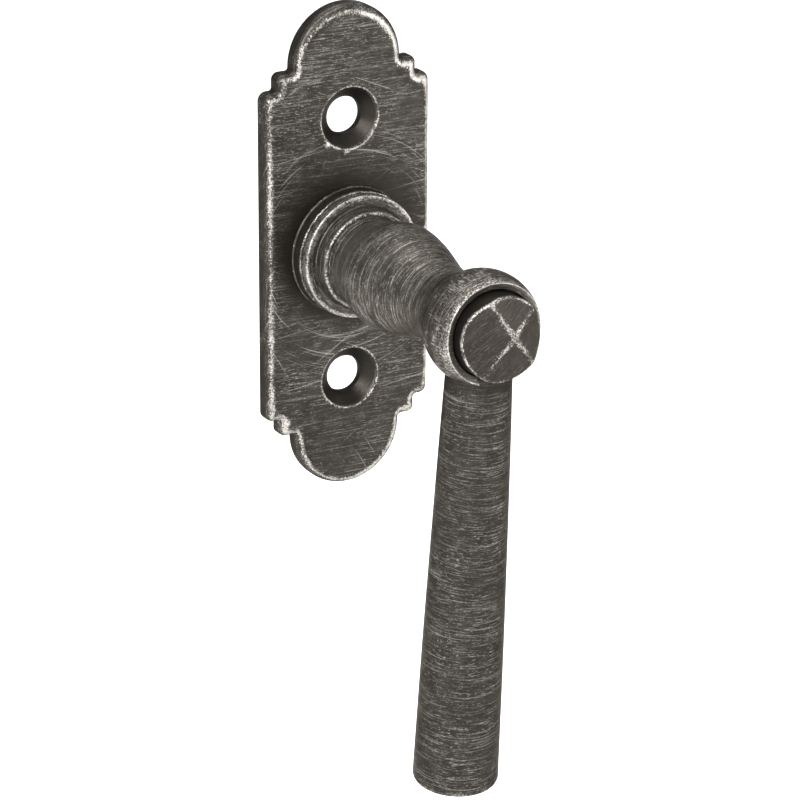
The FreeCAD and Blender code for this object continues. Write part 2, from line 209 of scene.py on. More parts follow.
def spline(knots, spacing):
    """Smooth curve through the knots, as evenly spaced (radius, front) points."""
    knots = np.array(knots, float)
    ends = np.vstack([2 * knots[0] - knots[1], knots, 2 * knots[-1] - knots[-2]])
    out = []
    for i in range(len(knots) - 1):
        a, b, c, d = ends[i:i + 4]
        steps = max(2, int(np.linalg.norm(c - b) / spacing))
        for t in np.linspace(0, 1, steps, endpoint=False):
            out.append(0.5 * (2 * b + (c - a) * t + (2 * a - 5 * b + 4 * c - d) * t ** 2
                              + (3 * b - a - 3 * c + d) * t ** 3))
    out.append(knots[-1])
    return [(float(r), float(s)) for r, s in out]


def softened(corners, spacing=0.3):
    """Profile points from (radius, front, rounding, wear) corners. Returns points and wear."""
    places = [np.array(c[:2], float) for c in corners]
    line = [places[0]]
    for i in range(1, len(corners) - 1):
        before, here, after = places[i - 1], places[i], places[i + 1]
        rounding = corners[i][2]
        if rounding <= 0:
            line.append(here)
            continue
        u = (before - here) / np.linalg.norm(before - here)
        v = (after - here) / np.linalg.norm(after - here)
        half = math.acos(max(-1, min(1, float(u @ v)))) / 2
        reach = rounding / math.tan(half)
        reach = min(reach, 0.49 * np.linalg.norm(before - here), 0.49 * np.linalg.norm(after - here))
        radius = reach * math.tan(half)
        centre = here + (u + v) / np.linalg.norm(u + v) * radius / math.sin(half)
        a, b = here + u * reach, here + v * reach
        for t in np.linspace(0, 1, 7):
            ray = (a - centre) * (1 - t) + (b - centre) * t
            line.append(centre + ray / np.linalg.norm(ray) * radius)
    line.append(places[-1])
    out = [line[0]]
    for p, q in zip(line, line[1:]):
        steps = max(1, int(np.linalg.norm(q - p) / spacing))
        for k in range(1, steps + 1):
            out.append(p + (q - p) * k / steps)
    out = np.array(out)
    wear = np.zeros(len(out))
    for corner in corners:
        if len(corner) > 3 and corner[3] > 0:
            width = 0.16 + 0.55 * corner[2]
            near = np.linalg.norm(out - np.array(corner[:2], float), axis=1)
            wear = np.maximum(wear, corner[3] * falloff(np.maximum(near - 0.4 * corner[2], 0), width))
    return [(float(r), float(s)) for r, s in out], wear


def turned(shell, profile, wear, dirt_and_shade, segments, seed, wobble=0.012, twist=0.0):
    """Adds a surface turned about the spindle axis. Brush lines run round it."""
    profile = np.array(profile, float)
    wear = np.broadcast_to(np.asarray(wear, float), (len(profile),))
    dirt_and_shade = np.broadcast_to(np.asarray(dirt_and_shade, float), (len(profile),))
    steps = np.linalg.norm(np.diff(profile, axis=0), axis=1)
    arc = np.concatenate([[0], np.cumsum(steps)])
    angles = np.linspace(0, 2 * math.pi, segments, endpoint=False)
    rows = []
    for (radius, front), along, w, d in zip(profile, arc, wear, dirt_and_shade):
        x, z = np.cos(angles), np.sin(angles)
        uneven = 1 + wobble * waves(x * radius, front, z * radius, seed, 5.0) / max(radius, 1.0)
        x, z = x * radius * uneven, z * radius * uneven
        points = np.stack([x, np.full(segments, front), z], axis=1)
        across = along + twist * np.sin(angles * 2 + front * 0.3)
        brush = np.stack([x, across, z], axis=1)
        rows.append(shell.add(points, w, d, brush))
    join_rows(shell, rows)


# ---------------------------------------------------------------- plate

def quarter_arc(cx, cz, radius, steps):
    """Points and outward normals from the side to the top of a quarter circle."""
    out = []
    for a in np.linspace(0, math.pi / 2, steps + 1):
        out.append((cx + radius * math.cos(a), cz + radius * math.sin(a), math.cos(a), math.sin(a)))
    return out


def notch_arc(x, z, steps):
    """Small quarter circle cut into the plate, from the level step at z to the upright side at x."""
    out = []
    for a in np.linspace(math.pi / 2, 0, steps + 1):
        nx, nz = math.cos(a), math.sin(a)
        out.append((x + NOTCH - NOTCH * nx, z + NOTCH - NOTCH * nz, nx, nz))
    return out


def plate_outline():
    """Closed outline as rows of (x, z, outward normal x, outward normal z)."""
    arch_z = PLATE_TOP - ARCH
    lobe_top = arch_z - NOTCH
    ear_x, ear_z = PLATE_X - EAR, EAR_TOP - EAR
    lobe_x, lobe_z = LOBE_X - LOBE, lobe_top - LOBE
    quarter = [(PLATE_X, z, 1.0, 0.0) for z in np.linspace(0, ear_z, 60, endpoint=False)]
    quarter += quarter_arc(ear_x, ear_z, EAR, 14)
    quarter += notch_arc(LOBE_X, EAR_TOP, 8)
    quarter += [(LOBE_X, z, 1.0, 0.0) for z in np.linspace(EAR_TOP + NOTCH, lobe_z, 5)[1:-1]]
    quarter += quarter_arc(lobe_x, lobe_z, LOBE, 12)
    quarter += [(x, lobe_top, 0.0, 1.0) for x in np.linspace(lobe_x, ARCH + NOTCH, 5)[1:-1]]
    quarter += notch_arc(ARCH, lobe_top, 8)
    quarter += quarter_arc(0, arch_z, ARCH, 44)[1:]
    upper_right = quarter
    upper_left = [(-x, z, -nx, nz) for x, z, nx, nz in reversed(quarter[:-1])]
    upper = upper_right + upper_left
    lower = [(x, -z, nx, -nz) for x, z, nx, nz in reversed(upper[1:-1])]
    return np.array(upper + lower)


OUTLINE = plate_outline()
PERIMETER = np.concatenate([[0], np.cumsum(np.linalg.norm(np.diff(OUTLINE[:, :2], axis=0), axis=1))])


def loop_at(inset):
    """The outline moved inwards, with front 0."""
    x = OUTLINE[:, 0] - OUTLINE[:, 2] * inset
    z = OUTLINE[:, 1] - OUTLINE[:, 3] * inset
    return np.stack([x, np.zeros(len(x)), z], axis=1)


def circle(radius, x, z, front, count):
    angles = np.linspace(0, 2 * math.pi, count, endpoint=False)
    return np.stack([x + radius * np.cos(angles), np.full(count, front), z + radius * np.sin(angles)], axis=1)


def rounded_box(half_x, half_z, corner, front):
    """Closed loop of a rectangle with rounded corners."""
    points = []
    for sx, sz, start in ((1, 1, 0), (-1, 1, 90), (-1, -1, 180), (1, -1, 270)):
        for a in np.radians(np.linspace(start, start + 90, 7)):
            points.append((sx * (half_x - corner) + corner * math.cos(a), front,
                           sz * (half_z - corner) + corner * math.sin(a)))
    return np.array(points)


def distance_to(points, loop):
    """Distance from each (x, z) to the nearest point of a dense loop."""
    out = np.empty(len(points))
    for i in range(0, len(points), 2000):
        part = points[i:i + 2000]
        out[i:i + 2000] = np.sqrt(((part[:, None] - loop[None]) ** 2).sum(-1)).min(1)
    return out


def inset_of(places):
    """How far each (x, z) lies inside the outline, counted as less near the notched corners."""
    start = OUTLINE[:, :2]
    step = np.roll(start, -1, axis=0) - start
    squared = (step ** 2).sum(1)
    out = np.empty(len(places))
    for i in range(0, len(places), 2000):
        off = places[i:i + 2000, None] - start
        share = np.clip((off * step).sum(-1) / squared, 0, 1)
        out[i:i + 2000] = np.sqrt(((off - share[..., None] * step) ** 2).sum(-1)).min(1)
    from_notch = np.hypot(np.abs(places[:, 0]) - LOBE_X, np.abs(places[:, 1]) - EAR_TOP)
    return out * (1 - 0.26 * falloff(from_notch, 3.0))


def burrs(places):
    """Two small lumps left at the rim of the upper screw hole, each between 0 and 1."""
    off = np.hypot(places[:, 0], places[:, 1] - HOLE_Z) - SINK - 0.14
    lumps = np.zeros(len(places))
    for angle, size in BURRS:
        x = (SINK + 0.4) * math.cos(math.radians(angle))
        z = (SINK + 0.4) * math.sin(math.radians(angle)) + HOLE_Z
        lumps = np.maximum(lumps, falloff(np.hypot(places[:, 0] - x, places[:, 1] - z), size))
    return lumps * np.clip(off / 0.15, 0, 1)


def face_front(places):
    """Front of the plate at each (x, z)."""
    return edge_front(inset_of(places)) + BURR_HEIGHT * burrs(places)


def edge_front(inset):
    """Front of the plate at a distance in from its outline: a round edge, then flat."""
    return PLATE_FRONT - EDGE + np.sqrt(EDGE ** 2 - np.clip(EDGE - inset, 0, EDGE) ** 2)


def flat(shell, outer, holes, front, spacing, value):
    """Fills the region between a loop and its holes with even triangles.

    front is one distance, or a function that gives one for each point.
    """
    loops = [outer] + holes
    points, edges = [], []
    for loop in loops:
        start = len(points)
        points += [(float(p[0]), float(p[2])) for p in loop]
        count = len(loop)
        edges += [(start + i, start + (i + 1) % count) for i in range(count)]
    border = np.array(points)
    low, high = border.min(0), border.max(0)
    if spacing:
        grid = []
        row = 0
        z = low[1]
        while z < high[1]:
            xs = np.arange(low[0] + (row % 2) * spacing / 2, high[0], spacing)
            grid += [(x, z) for x in xs]
            z += spacing * 0.866
            row += 1
        grid = np.array(grid)
        keep = distance_to(grid, border) > spacing * 0.55
        grid = grid[keep]
        points += [tuple(map(float, p)) for p in grid]
    made = geometry.delaunay_2d_cdt([Vector(p) for p in points], edges, [], 0, 1e-5)
    places = np.array([(v[0], v[1]) for v in made[0]])
    middle = np.array([places[list(t)].mean(0) for t in made[2]])
    inside = in_loop(middle, np.array([(p[0], p[2]) for p in outer]))
    for hole in holes:
        inside &= ~in_loop(middle, np.array([(p[0], p[2]) for p in hole]))
    wear, dirt_and_shade, brush = value(places)
    fronts = front(places) if callable(front) else np.full(len(places), front)
    ids = shell.add(np.stack([places[:, 0], fronts, places[:, 1]], axis=1), wear, dirt_and_shade, brush)
    for keep, triangle in zip(inside, made[2]):
        if keep:
            shell.faces.append(tuple(ids[i] for i in triangle))


def in_loop(points, loop):
    """Even-odd test of each point against a closed loop."""
    inside = np.zeros(len(points), bool)
    a, b = loop, np.roll(loop, -1, axis=0)
    for (ax, az), (bx, bz) in zip(a, b):
        crosses = (az > points[:, 1]) != (bz > points[:, 1])
        if az != bz:
            at_x = (bx - ax) * (points[:, 1] - az) / (bz - az) + ax
            inside ^= crosses & (points[:, 0] < at_x)
    return inside


def towards_ends(z):
    """0 along the plate's straight sides, rising to 1 on its round ends."""
    return np.clip((np.abs(z) - 23) / 6, 0, 1)


def edge_wear_and_highlight(places, inset):
    """Bright rubbed band along the round edge, wider and more patchy on the arches. Its extra strength and
    width on the right side is a painted highlight.
    """
    x, z = places[:, 0], places[:, 1]
    uneven = mottle(x, z, 0, 5, 3.0)
    patchy = mottle(x, z, 0, 11, 1.6)
    ends = towards_ends(z)
    # the right side's stronger, wider band is partly a painted highlight of the round edge
    strength = np.where(x > 0, 0.92, 0.76) * (1 - ends) + 0.90 * ends
    centre = 0.74 + 0.4 * np.clip((z - 33) / 5, 0, 1) + 0.3 * np.clip(x / 4, 0, 1) * ends
    band = strength * falloff(inset - centre, 0.36 + 0.18 * uneven + np.where(x > 0, 0.16, 0.04) * ends)
    spill = 0.40 * patchy ** 2 * falloff(inset - 0.1, 0.5) * (0.3 + 0.7 * ends)
    return np.maximum(band * (0.8 + 0.2 * uneven), spill)


def face_values(places):
    """Wear, dirt and brush place on the plate's front face."""
    uneven = mottle(places[:, 0], places[:, 1], 0, 5, 3.0)
    wear = edge_wear_and_highlight(places, inset_of(places))
    radius = np.hypot(places[:, 0], places[:, 1])
    upper = 0.5 + 0.5 * np.clip((places[:, 1] + 0.5 * places[:, 0]) / np.maximum(radius, 1), -1, 1)
    # dark ring round the collar, wider above it: partly unpolished patina the brush missed,
    # partly painted contact shade; and a slightly darker lower end
    dirt_and_shade = 0.95 * falloff(np.maximum(radius - 10.8, 0), 1.6 + 3.2 * upper)
    dirt_and_shade = np.maximum(dirt_and_shade, 0.20 * np.clip((-places[:, 1] - 20) / 6, 0, 1))
    for z in (-HOLE_Z, HOLE_Z):
        off = np.hypot(places[:, 0], places[:, 1] - z) - SINK
        wear = np.maximum(wear, 0.72 * falloff(np.maximum(off, 0), 0.20 + 0.22 * uneven))
    wear = np.maximum(wear, 0.95 * burrs(places))
    brush = np.stack([places[:, 0], places[:, 1], np.zeros(len(places))], axis=1)
    return wear, dirt_and_shade, brush


def plain_values(places):
    """The same for the plate's back, which is not rubbed."""
    brush = np.stack([places[:, 0], places[:, 1], np.full(len(places), BACK_PATTERN)], axis=1)
    return 0.0, 0.35, brush


def plate():
    shell = Shell()
    count = len(OUTLINE)
    uneven = mottle(OUTLINE[:, 0], OUTLINE[:, 1], 0, 11, 1.6)
    ends = towards_ends(OUTLINE[:, 1])

    def band(inset, front, wear, dirt_and_shade=0.8):
        points = loop_at(inset)
        points[:, 1] = front
        brush = np.stack([PERIMETER, points[:, 1], np.full(count, SIDE_PATTERN)], axis=1)
        return shell.add(points, wear, dirt_and_shade, brush)

    side = 0.16 + 0.32 * uneven ** 2 * (0.45 + 0.55 * ends)
    rows = [band(RIM, PLATE_BACK, 0.15), band(0.0, PLATE_BACK + RIM, 0.1)]
    for front in np.linspace(PLATE_BACK + 0.4, PLATE_FRONT - EDGE, 6):
        rows.append(band(0.0, front, side))
    edge_turns = np.radians([8, 16, 24, 32, 40, 48, 56])
    face_inset = EDGE * (1 - math.cos(edge_turns[-1]))
    for a in edge_turns:
        inset = EDGE * (1 - math.cos(a))
        places = loop_at(inset)[:, [0, 2]]
        wear = np.maximum(edge_wear_and_highlight(places, np.full(count, inset)), side)
        rows.append(band(inset, edge_front(inset_of(places)), wear, 0.8 - 0.8 * math.sin(a)))
    join_rows(shell, rows)

    # front face with its countersinks and the collar's seat
    spigot_front = circle(SPIGOT, 0, 0, PLATE_FRONT, 128)
    sink_loops = [circle(SINK + RIM, 0, z, PLATE_FRONT, 96) for z in (-HOLE_Z, HOLE_Z)]
    flat(shell, loop_at(face_inset), [spigot_front] + sink_loops, face_front, FINE, face_values)
    wall = PLATE_FRONT - (SINK - HOLE)  # where the cone meets the straight hole
    for z in (-HOLE_Z, HOLE_Z):
        profile = [
            (SINK + RIM, PLATE_FRONT, 0.75),
            (SINK + 0.03, PLATE_FRONT - 0.03, 0.7),
            (SINK - 0.05, PLATE_FRONT - 0.1, 0.35),
            (SINK - 0.4, PLATE_FRONT - 0.45, 0.0),
            (HOLE + 0.8, wall + 0.8, 0.0),
            (HOLE + 0.06, wall + 0.05, 0.12),
            (HOLE, wall - 0.05, 0.05),
            (HOLE, 1.6, 0.0),
            (HOLE, PLATE_BACK, 0.0),
        ]
        rows = []
        for radius, front, wear in profile:
            points = circle(radius, 0, z, front, 96)
            brush = np.stack([points[:, 0], np.full(96, front), points[:, 2]], axis=1)
            rows.append(shell.add(points, wear, 1.0 if wear < 0.3 else 0.3, brush))
        join_rows(shell, rows)

    def ring_wall(loop, fronts):
        rows = []
        for front in fronts:
            points = loop.copy()
            points[:, 1] = front
            brush = np.stack([points[:, 0], points[:, 1] * 3, points[:, 2]], axis=1)
            rows.append(shell.add(points, 0.0, 0.4, brush))
        join_rows(shell, rows)

    # back: flat face, hub, cover seat, pocket with spring channels
    hub_loop = rounded_box(HUB[0], HUB[1], HUB_CORNER, 0)
    seat_loop = rounded_box(SEAT[0], SEAT[1], SEAT_CORNER, 0)
    screw_holes = [circle(HOLE, 0, z, 0, 96) for z in (-HOLE_Z, HOLE_Z)]
    flat(shell, loop_at(RIM), [hub_loop] + screw_holes, PLATE_BACK, COARSE, plain_values)
    ring_wall(hub_loop, (0.0, PLATE_BACK))
    flat(shell, hub_loop, [seat_loop], 0.0, 0, plain_values)
    ring_wall(seat_loop, (0.0, SEAT_DEPTH))
    start = math.degrees(math.asin(CHANNEL[0] / POCKET))
    pocket = []
    for turn in (0, 180):
        for a in np.radians(np.linspace(-90 + start, 90 - start, 61) + turn):
            pocket.append((POCKET * math.cos(a), 0, POCKET * math.sin(a)))
        sign = 1 if turn == 0 else -1
        pocket.append((sign * CHANNEL[0], 0, sign * CHANNEL[1]))
        pocket.append((-sign * CHANNEL[0], 0, sign * CHANNEL[1]))
    pocket = np.array(pocket)
    across, up = RIVET_PLACE
    rivets = [circle(RIVET, x, z, 0, 24) for x in (-across, across) for z in (-up, up)]
    flat(shell, seat_loop, [pocket] + rivets, SEAT_DEPTH, 0, plain_values)
    ring_wall(pocket, (SEAT_DEPTH, POCKET_DEPTH))
    for rivet in rivets:
        ring_wall(rivet, (SEAT_DEPTH, RIVET_FRONT))
        flat(shell, rivet, [], RIVET_FRONT, 0, plain_values)
    spigot_back = circle(SPIGOT, 0, 0, POCKET_DEPTH, 128)
    flat(shell, pocket, [spigot_back], POCKET_DEPTH, 0, plain_values)
    ring_wall(spigot_back, (POCKET_DEPTH, PLATE_FRONT))
    return shell.make("plate_casting")


# ---------------------------------------------------------------- turned pieces

def collar():
    shell = Shell()
    corners = [
        (7.4, 3.3, 0, 0), (8.0, 3.3, 0, 0), (8.0, 4.1, 0, 0),
        (10.42, 4.1, 0, 0), (10.42, 4.34, 0.1, 0.36), (10.2, 4.5, 0.05, 0),
        (10.2, 6.6, 0.32, 0.5), (9.3, 6.6, 0.08, 0), (9.3, 6.08, 0, 0),
        (7.4, 6.08, 0, 0), (7.4, 3.3, 0, 0),
    ]
    profile, wear = softened(corners, 0.25)
    turned(shell, profile, wear, dirt_and_shade=0.4, segments=224, seed=21)
    return shell.make("collar_ring")


def neck():
    shell = Shell()
    back = [
        (0.0, 0.25, 0, 0), (6.2, 0.25, 0.3, 0), (6.2, 0.8, 0, 0),
        (5.8, 0.8, 0, 0), (5.8, 1.4, 0, 0), (6.2, 1.4, 0, 0),
        (6.2, 6.73, 0, 0), (10.0, 6.73, 0.2, 0.62), (10.0, 7.1, 0, 0.60),
        (10.0, 7.4, 0, 0.62), (10.0, 7.7, 0, 0.64), (10.0, 8.36, 0.7, 0.72),
        (8.42, 8.33, 0.06, 0.0), (8.3, 8.46, 0.05, 0.1),
        (7.93, 10.74, 0.5, 0.58), (7.3, 10.74, 0.1, 0.0),
    ]
    first, wear_first = softened(back + [(7.0, 11.7, 0, 0)], 0.22)
    first, wear_first = first[:-1], wear_first[:-1]
    bell = spline([
        (7.05, 11.6), (7.12, 13.2), (7.67, 15.0), (8.3, 16.8), (8.66, 18.8), (8.55, 21.0), (8.02, 24.0),
        (7.26, 27.0), (6.5, 30.0), (6.06, 33.0), (6.16, 36.0), (6.9, KNUCKLE_BACK), (7.0, NECK_FRONT),
    ], 0.3)
    bell_front = np.array([s for _, s in bell])
    wear_bell = 0.20 * falloff(bell_front - 19.0, 5.5) + 0.08
    wear_bell = wear_bell * (bell_front < 38.0)
    profile = first + bell + [(0.0, NECK_FRONT)]
    wear = np.concatenate([wear_first, wear_bell, [0]])
    fronts = np.array([s for _, s in profile])
    radii = np.array([r for r, _ in profile])
    # painted shade in the cove at the bell's back end, darker where the bell meets the ball
    # and on the step's side, and painted light just in front of the step, where the plate shades the bell
    dirt_and_shade = 0.45 * falloff(fronts - 11.3, 0.8) + 0.4 * falloff(fronts - 39.4, 1.3)
    dirt_and_shade -= 0.42 * falloff(fronts - 14.2, 3.6) * (fronts > 11.2)
    dirt_and_shade += 0.35 * ((fronts > 8.2) & (fronts < 10.2) & (radii < 8.6))
    turned(shell, profile, wear, dirt_and_shade, segments=288, wobble=0.02, seed=31, twist=0.05)
    return shell.make("turned_neck")


def knuckle():
    shell = Shell()
    rim = math.sqrt(KNUCKLE_R ** 2 - (KNUCKLE_CUT - KNUCKLE) ** 2)
    start = math.asin((KNUCKLE_BACK - KNUCKLE) / KNUCKLE_R)
    end = math.asin((KNUCKLE_CUT - KNUCKLE) / KNUCKLE_R)
    turns = np.linspace(start, end - 0.02, 70)
    sphere = [(KNUCKLE_R * math.cos(a), KNUCKLE + KNUCKLE_R * math.sin(a)) for a in turns]
    inner = softened([
        (sphere[-1][0], sphere[-1][1], 0, 0), (rim - 0.05, KNUCKLE_CUT, 0.16, 0.66),
        (DISH_R, DISH_FRONT, 0.1, 0.0), (DISH_R, DISH_FLOOR, 0, 0), (0.0, DISH_FLOOR, 0, 0),
    ], 0.2)
    profile = [(0.0, KNUCKLE_BACK)] + sphere + inner[0][1:]
    fronts = np.array([s for _, s in profile])
    on_ball = np.zeros(len(profile), bool)
    on_ball[1:1 + len(sphere)] = True
    # rubbed towards the flat cut and darker where the ball meets the neck; painted light on
    # the bevel in place of the reflection that the head blocks, and painted shade in the dish
    wear = np.zeros(len(profile))
    wear[on_ball] = 0.33 * falloff(fronts[on_ball] - 45.6, 1.6) + 0.54 * falloff(fronts[on_ball] - 48.4, 0.9)
    wear[1 + len(sphere):] = inner[1][1:]
    bevel = np.where(fronts > DISH_FRONT - 0.12, -0.8, 1.0)
    dirt_and_shade = np.where(on_ball, 0.3 * falloff(fronts - 39.5, 1.2), bevel)
    turned(shell, profile, wear, dirt_and_shade, segments=288, wobble=0.02, seed=41, twist=0.35)
    return shell.make("knuckle_ball")


def head():
    """Round head cut to four slightly hollow facets that meet off centre, with softened ridges."""
    shell = Shell()
    apex = np.array(APEX)
    ends = []
    for angle in np.radians(RIDGES):
        ends.append(np.array([HEAD_R * math.cos(angle), HEAD_R * math.sin(angle), RIDGE_FRONT]))
    planes = []
    for first, second in zip(ends, ends[1:] + ends[:1]):
        normal = np.cross(first - apex, second - apex)
        normal = normal if normal[2] > 0 else -normal
        planes.append((-normal[0] / normal[2], -normal[1] / normal[2]))

    def height(x, z):
        flats = np.array([apex[2] + a * (x - apex[0]) + b * (z - apex[1]) for a, b in planes])
        far = np.hypot(x - apex[0], z - apex[1])
        flats = flats + HOLLOW * far ** 2
        sharp = 9.0
        soft = -np.log(np.exp(-sharp * (flats - flats.min(0))).sum(0)) / sharp + flats.min(0)
        ordered = np.sort(flats, axis=0)
        return soft, ordered[1] - ordered[0]

    rounding = 0.3
    segments = 288
    angles = np.linspace(0, 2 * math.pi, segments, endpoint=False)
    rows = []
    inner = HEAD_R - rounding
    quarter = np.linspace(0, math.pi / 2, 8)[1:]
    radii = list(np.linspace(0, inner, 44)) + [inner + rounding * math.sin(a) for a in quarter]
    for radius in radii:
        x = radius * np.cos(angles)
        z = radius * np.sin(angles)
        top, gap = height(x, z)
        drop = rounding - math.sqrt(max(0.0, rounding ** 2 - max(0.0, radius - inner) ** 2))
        top = top - drop
        reach = np.clip((HEAD_R + 0.4 - radius) / 3.0, 0.82, 1.0)
        from_apex = np.hypot(x - apex[0], z - apex[1])
        ridge = falloff(gap, 0.36 + 0.24 * falloff(from_apex, 1.8)) * reach
        rim = falloff(max(0.0, HEAD_R - 0.12 - radius), 0.32)
        uneven = mottle(x, z, 0, 51, 1.3)
        wear = np.maximum(0.82 * ridge * (0.6 + 0.4 * uneven), rim * (0.42 + 0.36 * uneven))
        points = np.stack([x, top, z], axis=1)
        brush = np.stack([x * 0.8 + z * 0.6, z * 0.8 - x * 0.6, np.zeros(segments)], axis=1)
        rows.append(shell.add(points, wear, 0.55, brush))
    rim_top = np.array([shell.points[i][1] for i in rows[-1]])
    for share in np.linspace(0, 1, 8)[1:]:
        x = HEAD_R * np.cos(angles)
        z = HEAD_R * np.sin(angles)
        front = rim_top + (HEAD_BACK - rim_top) * share
        brush = np.stack([x, front, z], axis=1)
        # the head's side wall is painted fully dark as painted shade, with a little rubbing near the rim
        rows.append(shell.add(np.stack([x, front, z], axis=1), 0.15 * (1 - share), 1.0, brush))
    centre = circle(0.0, 0, 0, HEAD_BACK, segments)
    rows.append(shell.add(centre, 0, 0.5, centre))
    join_rows(shell, rows)
    return shell.make("faceted_head")


def grip():
    shell = Shell()
    low, high = GRIP_START, GRIP_END
    rounding = 1.0
    side = []
    for t in np.linspace(low, high - rounding, 230):
        share = (t - low - rounding) / (high - low - 2 * rounding)
        bulge = 0.15 * math.sin(math.pi * max(share, 0))
        side.append((GRIP_R[0] + share * (GRIP_R[1] - GRIP_R[0]) + bulge, t))
    end = side[-1][0]
    corner = []
    for a in np.linspace(0, math.pi / 2, 11)[1:]:
        corner.append((end - rounding + rounding * math.cos(a), high - rounding + rounding * math.sin(a)))
    floor = [(r, high) for r in np.linspace(end - rounding, 0, 12)[1:]]
    profile = [(0.0, low)] + side + corner + floor
    segments = 256
    angles = np.linspace(0, 2 * math.pi, segments, endpoint=False)
    rows = []
    arc = 0.0
    last = profile[0]
    for radius, t in profile:
        arc += math.hypot(radius - last[0], t - last[1])
        last = (radius, t)
        x = np.cos(angles) * radius
        deep = np.sin(angles) * radius
        uneven = 1 + 0.03 * waves(x, deep, t, 61, 9.0) / max(radius, 1)
        x, deep = x * uneven, deep * uneven
        front = KNUCKLE + deep * math.cos(LEAN) - t * math.sin(LEAN)
        z = -t * math.cos(LEAN) - deep * math.sin(LEAN)
        from_rim = max(0.0, high - 0.35 - t) + max(0.0, end - rounding - radius)
        tip = 0.55 * float(falloff(from_rim, 0.9))
        patchy = mottle(x, deep, t, 62, 3.0)
        # bright end rim, and a band down the grip's left side that is partly rubbed metal and partly a
        # painted glint
        wear = np.maximum(tip, 0.06 + 0.22 * patchy * falloff(np.cos(angles) + 0.78, 0.28))
        # painted shadow of the ball across the top of the grip
        dirt_and_shade = 0.75 * float(falloff(max(0.0, t - 8.3), 1.3))
        across = arc + 0.10 * np.sin(angles + 0.13 * t) + 0.05 * np.sin(3 * angles)
        brush = np.stack([x, across, deep], axis=1)
        rows.append(shell.add(np.stack([x, front, z], axis=1), wear, dirt_and_shade, brush))
    join_rows(shell, rows)
    return shell.make("grip_bar")


# ---------------------------------------------------------------- materials

# Colours of the metals.
# Darkest tone: the real patina, and also painted shade in creases, recesses and under parts.
DARK_PATINA_AND_SHADE = (0.017, 0.0152, 0.0124)
# Pale tone, used only as painted light where the bell and the ball's bevel are made brighter.
PAINTED_LIGHT_TONE = (0.130, 0.121, 0.106)
BARE_METAL = (0.47, 0.448, 0.415)
ZINC = (0.40, 0.41, 0.41)
SPRING_WIRE = (0.50, 0.50, 0.49)
BALL_STEEL = (0.66, 0.66, 0.66)

# Scratches: degrees from the brush lines, noise scale along them, and threshold.
SCRATCHES = ((24, 0.045, 0.735), (-31, 0.05, 0.735), (61, 0.05, 0.755), (-7, 0.03, 0.72))


class Nodes:
    """Short helpers for building a node material."""

    def __init__(self, name):
        self.material = bpy.data.materials.new(name)
        self.material.use_nodes = True
        self.tree = self.material.node_tree
        self.tree.nodes.clear()
        self.out = self.tree.nodes.new("ShaderNodeOutputMaterial")
        self.shader = self.tree.nodes.new("ShaderNodeBsdfPrincipled")
        self.link(self.shader.outputs[0], self.out.inputs[0])

    def link(self, a, b):
        self.tree.links.new(a, b)

    def put(self, socket, value):
        if isinstance(value, bpy.types.NodeSocket):
            self.link(value, socket)
        else:
            socket.default_value = value

    def attribute(self, name, vector=False):
        node = self.tree.nodes.new("ShaderNodeAttribute")
        node.attribute_name = name
        return node.outputs["Vector" if vector else "Fac"]

    def place(self):
        return self.tree.nodes.new("ShaderNodeTexCoord").outputs["Object"]

    def scale(self, vector, by):
        node = self.tree.nodes.new("ShaderNodeVectorMath")
        node.operation = "MULTIPLY"
        self.link(vector, node.inputs[0])
        node.inputs[1].default_value = by
        return node.outputs[0]

    def mapped(self, vector, angle, by, shift):
        """Turned about the third axis, then stretched and shifted."""
        node = self.tree.nodes.new("ShaderNodeMapping")
        node.vector_type = "POINT"
        turn = self.tree.nodes.new("ShaderNodeVectorRotate")
        turn.rotation_type = "Z_AXIS"
        turn.inputs["Angle"].default_value = math.radians(angle)
        self.link(vector, turn.inputs["Vector"])
        self.link(turn.outputs[0], node.inputs[0])
        node.inputs["Location"].default_value = shift
        node.inputs["Scale"].default_value = by
        return node.outputs[0]

    def noise(self, vector, scale=1.0, detail=2.0, rough=0.5, distort=0.0):
        node = self.tree.nodes.new("ShaderNodeTexNoise")
        self.link(vector, node.inputs["Vector"])
        node.inputs["Scale"].default_value = scale
        node.inputs["Detail"].default_value = detail
        node.inputs["Roughness"].default_value = rough
        node.inputs["Distortion"].default_value = distort
        return node.outputs["Fac"]

    def ramp(self, value, low, high, out_low=0.0, out_high=1.0):
        node = self.tree.nodes.new("ShaderNodeMapRange")
        node.interpolation_type = "SMOOTHSTEP"
        self.put(node.inputs["Value"], value)
        node.inputs["From Min"].default_value = low
        node.inputs["From Max"].default_value = high
        node.inputs["To Min"].default_value = out_low
        node.inputs["To Max"].default_value = out_high
        return node.outputs["Result"]

    def math(self, operation, a, b, clamp=False):
        node = self.tree.nodes.new("ShaderNodeMath")
        node.operation = operation
        node.use_clamp = clamp
        self.put(node.inputs[0], a)
        self.put(node.inputs[1], b)
        return node.outputs[0]

    def add(self, a, b):
        return self.math("ADD", a, b)

    def times(self, a, b, clamp=False):
        return self.math("MULTIPLY", a, b, clamp)

    def mix(self, factor, a, b):
        node = self.tree.nodes.new("ShaderNodeMix")
        node.data_type = "RGBA"
        self.put(node.inputs[0], factor)
        self.put(node.inputs[6], a if isinstance(a, bpy.types.NodeSocket) else (*a, 1))
        self.put(node.inputs[7], b if isinstance(b, bpy.types.NodeSocket) else (*b, 1))
        return node.outputs[2]

    def bump(self, height, distance, strength):
        node = self.tree.nodes.new("ShaderNodeBump")
        node.inputs["Distance"].default_value = distance
        node.inputs["Strength"].default_value = strength
        self.link(height, node.inputs["Height"])
        return node.outputs[0]


